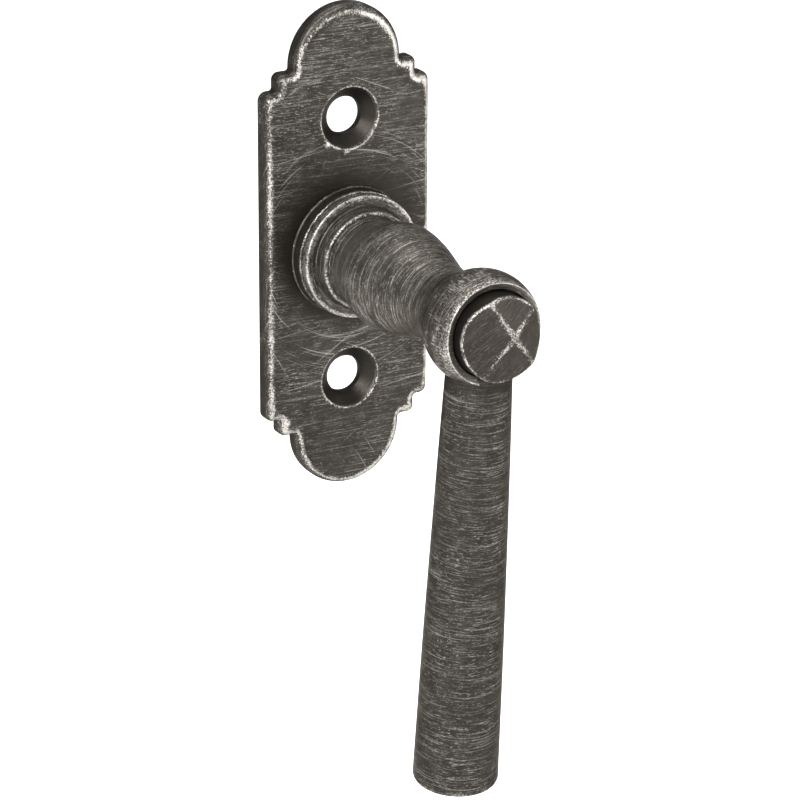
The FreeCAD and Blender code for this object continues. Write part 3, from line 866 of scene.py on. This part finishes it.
def iron(name, seed, brushed=1.0, streaks=1.0, scratches=0.0, swirl=0.0, tilt=0.0,
         specks=1.0, cross=0.0, red=0.0, shade=1.0, even=0.0):
    """Dark patinated casting, brushed back along its lines and rubbed bright on its edges."""
    n = Nodes(name)
    brush = n.attribute("brush", True)
    wear = n.attribute("wear")
    dirt_and_shade = n.attribute("dirt_and_shade")
    place = n.scale(n.place(), (1000, 1000, 1000))
    shift = (seed * 7.3, seed * 3.1, seed * 5.7)

    # noise stretched along the brush lines, and noise with no direction
    fine = n.noise(n.mapped(brush, tilt, (0.55, 4.6, 0.55), shift), 1.0, 2.0, 0.65)
    long_lines = n.noise(n.mapped(brush, tilt, (0.12, 3.9, 0.12), shift), 1.0, 2.0, 0.6)
    dashes = n.noise(n.mapped(brush, tilt + 1.5, (1.5, 4.4, 1.5), shift), 1.0, 1.0, 0.5)
    region = n.noise(place, 0.07, 2.0, 0.5)
    broad = n.noise(n.mapped(brush, tilt, (0.12, 0.9, 0.12), shift), 1.0, 2.0, 0.5)
    patch = n.noise(place, 0.14, 2.0, 0.55)
    grain = n.noise(place, 3.4, 3.0, 0.7)
    pits = n.noise(place, 6.5, 1.0, 0.5)
    cloud = n.noise(place, 0.42, 3.0, 0.6)

    # bright brush lines, longer streaks and short dashes, each broken up
    lines = n.times(n.ramp(fine, 0.545, 0.63), n.ramp(grain, 0.42, 0.56, 0.2, 1.0))
    lines = n.times(lines, n.ramp(region, 0.40, 0.60, 0.45 + 0.4 * even, 1.0))
    lines = n.times(lines, n.ramp(broad, 0.34, 0.62, 0.35 + 0.45 * even, 1.0))
    streak = n.times(n.ramp(long_lines, 0.565, 0.63), n.ramp(grain, 0.40, 0.56, 0.3, 1.0))
    streak = n.times(streak, n.ramp(patch, 0.38, 0.60, 0.4 + 0.4 * even, 1.0))
    dash = n.times(n.ramp(dashes, 0.63, 0.70), n.ramp(patch, 0.36, 0.60, 0.35, 1.0))

    # Brush lines fade where the point is dark from patina or from painted shade.
    clear_of_dirt_and_shade = n.math("SUBTRACT", 1.0, dirt_and_shade, clamp=True)
    shine = n.times(lines, 0.36 * brushed)
    shine = n.add(shine, n.times(streak, 0.42 * streaks))
    shine = n.add(shine, n.times(dash, 0.42 * specks))

    if scratches:  # single long scratches at four angles
        for angle, rate, low in SCRATCHES:
            mark = n.noise(n.mapped(brush, angle, (rate, 2.1, 1.0), (angle, seed, 0)), 1.0, 1.0, 0.4, 0.12)
            cut = n.times(n.ramp(mark, low, low + 0.03), n.ramp(grain, 0.35, 0.6, 0.3, 1.0))
            shine = n.add(shine, n.times(cut, 0.40 * scratches))
    if swirl:  # faint arcs on a ring of the plate round the collar
        split = n.tree.nodes.new("ShaderNodeSeparateXYZ")
        n.link(brush, split.inputs[0])
        length = n.tree.nodes.new("ShaderNodeVectorMath")
        length.operation = "LENGTH"
        n.link(brush, length.inputs[0])
        joined = n.tree.nodes.new("ShaderNodeCombineXYZ")
        n.link(n.times(split.outputs[0], 0.10), joined.inputs[0])
        n.link(n.times(length.outputs["Value"], 3.6), joined.inputs[1])
        n.link(n.times(split.outputs[1], 0.10), joined.inputs[2])
        arcs = n.ramp(n.noise(joined.outputs[0], 1.0, 2.0, 0.5), 0.58, 0.72)
        zone = n.ramp(length.outputs["Value"], 12.5, 14.5)
        zone = n.times(zone, n.ramp(length.outputs["Value"], 17.0, 22.0, 1.0, 0.0))
        arcs = n.times(n.times(arcs, zone), 0.34 * swirl)
        shine = n.add(shine, arcs)
    if cross:  # short strokes across the brush lines, in patches
        strokes = n.noise(n.mapped(brush, 0, (3.8, 0.55, 3.8), shift), 1.0, 3.0, 0.6)
        zone = n.ramp(n.noise(place, 0.22, 1.0), 0.46, 0.58)
        strokes = n.times(n.ramp(strokes, 0.50, 0.68), zone)
        shine = n.add(shine, n.times(strokes, 0.5 * cross))
    shine = n.times(shine, clear_of_dirt_and_shade)

    # bare metal where the wear is strong, with a ragged border
    broken = n.times(n.math("SUBTRACT", grain, 0.5), 1.7)
    broken = n.add(broken, n.times(n.math("SUBTRACT", cloud, 0.5), 0.9))
    broken = n.add(broken, n.times(n.math("SUBTRACT", pits, 0.5), 0.9))
    broken = n.times(broken, n.ramp(wear, 0.6, 0.95, 1.0, 0.4))
    rubbed = n.times(n.ramp(n.add(wear, broken), 0.42, 0.98), n.ramp(wear, 0.03, 0.22))
    shine = n.math("MAXIMUM", shine, n.times(rubbed, 0.92))
    shine = n.math("MINIMUM", shine, 1.0)

    low = [shade * c for c in (0.030 + 0.003 * red, 0.0272 - 0.001 * red, 0.0230)]
    high = [shade * c for c in (0.045 + 0.006 * red, 0.0410 - 0.002 * red, 0.0350)]
    tone = n.mix(n.ramp(cloud, 0.3, 0.7), low, high)
    # Darkened towards the darkest tone, partly real patina and partly painted shade, and lightened towards
    # the pale tone as painted light where the value is below 0.
    tone = n.mix(n.times(dirt_and_shade, 0.85, clamp=True), tone, DARK_PATINA_AND_SHADE)
    tone = n.mix(n.times(dirt_and_shade, -1.0, clamp=True), tone, PAINTED_LIGHT_TONE)
    colour = n.mix(shine, tone, BARE_METAL)
    n.put(n.shader.inputs["Base Color"], colour)
    n.put(n.shader.inputs["Metallic"], n.ramp(shine, 0.0, 0.8, 0.84, 1.0))
    n.shader.inputs["Specular IOR Level"].default_value = 0.3
    n.shader.inputs["Specular Tint"].default_value = (0.40, 0.385, 0.36, 1)
    texture = n.add(n.times(grain, 0.5), n.times(lines, 0.5))
    n.put(n.shader.inputs["Roughness"], n.ramp(texture, 0.2, 0.8, 0.41, 0.57))
    height = n.add(fine, n.times(grain, 0.5))
    height = n.add(height, n.times(cloud, 0.8))
    n.put(n.shader.inputs["Normal"], n.bump(height, 0.00007, 0.8))
    return n.material


def machined(name, colour, rough, lines, direction=(0.3, 6.0, 0.3), metallic=1.0):
    """Plain metal, or plastic at metallic 0, with fine machining lines and small marks."""
    n = Nodes(name)
    place = n.scale(n.place(), (1000, 1000, 1000))
    fine = n.noise(n.scale(place, direction), 1.0, 3.0, 0.6)
    cloud = n.noise(place, 0.5, 3.0, 0.6)
    dots = n.noise(place, 4.0, 2.0, 0.5)
    dark = tuple(c * 0.72 for c in colour)
    tone = n.mix(n.ramp(cloud, 0.3, 0.7), dark, colour)
    pale = tuple(min(1.0, c * 1.25) for c in colour)
    tone = n.mix(n.times(n.ramp(fine, 0.5, 0.8), 0.35), tone, pale)
    n.put(n.shader.inputs["Base Color"], tone)
    n.shader.inputs["Metallic"].default_value = metallic
    marks = n.times(dots, 0.4)
    texture = n.add(n.times(fine, 0.6), marks)
    n.put(n.shader.inputs["Roughness"], n.ramp(texture, 0.3, 0.7, rough - 0.07, rough + 0.09))
    n.put(n.shader.inputs["Normal"], n.bump(n.add(fine, marks), 0.00003 * lines, 0.6))
    return n.material


# ---------------------------------------------------------------- pieces

def dress(piece, material, body, slot, *nodes):
    piece.data.materials.append(material)
    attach(piece, body)
    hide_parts(*nodes)


PLATE_IRON = iron("aged_iron_plate", 1, brushed=0.75, streaks=0.45, scratches=0.8, swirl=1.2,
                  tilt=1.0, specks=0.5, shade=0.85)
COLLAR_IRON = iron("aged_iron_collar", 2, brushed=0.6, streaks=0.5, specks=0.5)
# shade=1.2 makes the whole neck paler: painted light on the bell, whose left side the plate shades
NECK_IRON = iron("aged_iron_neck", 3, brushed=0.9, streaks=0.95, specks=0.7, shade=1.2, even=0.8)
KNUCKLE_IRON = iron("aged_iron_knuckle", 4, brushed=0.8, streaks=0.7, specks=0.8, cross=1.2, red=0.3)
GRIP_IRON = iron("aged_iron_grip", 5, brushed=0.5, streaks=0.5, specks=0.45, shade=0.63, even=0.5)
HEAD_IRON = iron("aged_iron_head", 6, brushed=0.3, streaks=0.25, scratches=0.6, specks=0.4,
                 red=0.4, shade=1.1)

dress(plate(), PLATE_IRON, "plate", "plate_iron", "backplate")
dress(collar(), COLLAR_IRON, "plate", "collar_iron", "bearing_collar")
dress(neck(), NECK_IRON, "handle", "neck_iron", "neck")
dress(knuckle(), KNUCKLE_IRON, "handle", "knuckle_iron", "knuckle")
dress(grip(), GRIP_IRON, "handle", "grip_iron", "grip")
dress(head(), HEAD_IRON, "handle", "head_iron", "pyramid_head_screw")

FINISHES = {
    "neck_bush": machined("drawn_brass", (0.72, 0.52, 0.22), 0.34, 1.0),
    "thrust_washer": machined("natural_nylon", (0.80, 0.79, 0.74), 0.48, 1.0, (1.2, 1.2, 1.2), 0.0),
    "rear_cover": machined("zinc_sheet", ZINC, 0.36, 1.0, (0.3, 0.3, 5.0)),
    "cover_rivets": machined("steel_rivet", (0.13, 0.13, 0.13), 0.44, 1.0),
    "upper_detent_spring": machined("spring_wire_upper", SPRING_WIRE, 0.30, 0.5, (2.0, 2.0, 2.0)),
    "lower_detent_spring": machined("spring_wire_lower", SPRING_WIRE, 0.30, 0.5, (2.0, 2.0, 2.0)),
    "upper_ball": machined("bearing_ball_upper", BALL_STEEL, 0.16, 0.3, (1.0, 1.0, 1.0)),
    "lower_ball": machined("bearing_ball_lower", BALL_STEEL, 0.16, 0.3, (1.0, 1.0, 1.0)),
    "disc_spring": machined("spring_plate", (0.42, 0.42, 0.42), 0.34, 0.8),
    "index_disc": machined("ground_steel", (0.55, 0.55, 0.54), 0.32, 1.0, (5.0, 0.3, 0.3)),
    "retaining_ring": machined("phosphate_ring", (0.16, 0.16, 0.16), 0.42, 0.8, (2.0, 2.0, 2.0)),
    "spindle": machined("drawn_square_steel", ZINC, 0.33, 1.4, (5.0, 0.25, 5.0)),
    "spindle_grub_screw": machined("black_oxide", (0.07, 0.07, 0.07), 0.38, 0.8, (2.0, 2.0, 2.0)),
    "lock_washer": machined("lock_washer_steel", (0.40, 0.40, 0.39), 0.36, 0.8),
    "grip_stud": machined("stud_zinc", ZINC, 0.34, 1.0, (0.4, 0.4, 5.0)),
}
for node, finish in FINISHES.items():
    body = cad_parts[node]
    if not body.data.materials:
        body.data.materials.append(finish)
    for index in range(len(body.material_slots)):
        body.material_slots[index].material = finish


# ---------------------------------------------------------------- floor, light, camera

def studio_floor():
    low = CAD_BOX[0][2] - 0.03
    size = 6.0
    mesh = bpy.data.meshes.new("studio_floor")
    corners = [(-size, -size, low), (size, -size, low), (size, size, low), (-size, size, low)]
    mesh.from_pydata(corners, [], [(0, 1, 2, 3)])
    floor = bpy.data.objects.new("studio_floor", mesh)
    bpy.context.scene.collection.objects.link(floor)
    n = Nodes("pale_floor")
    place = n.place()
    tone = n.mix(n.noise(place, 2.0, 2.0), (0.93, 0.93, 0.93), (0.95, 0.95, 0.95))
    n.put(n.shader.inputs["Base Color"], tone)
    n.shader.inputs["Roughness"].default_value = 0.9
    n.shader.inputs["Specular IOR Level"].default_value = 0.0
    mesh.materials.append(n.material)


def softbox(name, place, target, size, power):
    light = bpy.data.lights.new(name, "AREA")
    light.shape = "RECTANGLE"
    light.size, light.size_y = size
    light.energy = power
    lamp = bpy.data.objects.new(name, light)
    lamp.location = place
    lamp.rotation_euler = (Vector(target) - Vector(place)).to_track_quat("-Z", "Y").to_euler()
    bpy.context.scene.collection.objects.link(lamp)


def studio():
    world = bpy.data.worlds.new("studio")
    world.use_nodes = True
    world.node_tree.nodes["Background"].inputs["Color"].default_value = (1, 1, 1, 1)
    world.node_tree.nodes["Background"].inputs["Strength"].default_value = 0.72
    bpy.context.scene.world = world
    middle = (0.0, -0.025, -0.018)
    softbox("key_softbox", (-0.60, -0.45, 0.45), middle, (0.5, 0.5), 16.0)
    softbox("fill_softbox", (0.6, -0.5, 0.15), middle, (0.5, 0.7), 5.2)
    softbox("top_softbox", (0.05, 0.1, 0.75), middle, (0.7, 0.7), 6.2)


def camera():
    target = Vector((-0.00266, -0.025, -0.01783))
    azimuth, elevation, roll = math.radians(-29.56), math.radians(21.07), math.radians(0.29)
    distance = 0.60737
    level = math.cos(elevation)
    back = Vector((math.sin(azimuth) * level, -math.cos(azimuth) * level, math.sin(elevation)))
    right = Vector((0, 0, 1)).cross(back).normalized()
    up = back.cross(right)
    turned_right = right * math.cos(roll) + up * math.sin(roll)
    turned_up = up * math.cos(roll) - right * math.sin(roll)
    data = bpy.data.cameras.new("photo_camera")
    data.sensor_width = 36.0
    data.lens = 177.27
    data.clip_start = 0.01
    data.clip_end = 50.0
    eye = bpy.data.objects.new("photo_camera", data)
    turn = Matrix((turned_right, turned_up, back)).transposed().to_4x4()
    eye.matrix_world = Matrix.Translation(target + back * distance) @ turn
    bpy.context.scene.collection.objects.link(eye)
    bpy.context.scene.camera = eye


studio_floor()
studio()
camera()
bpy.context.scene.view_settings.view_transform = "Standard"
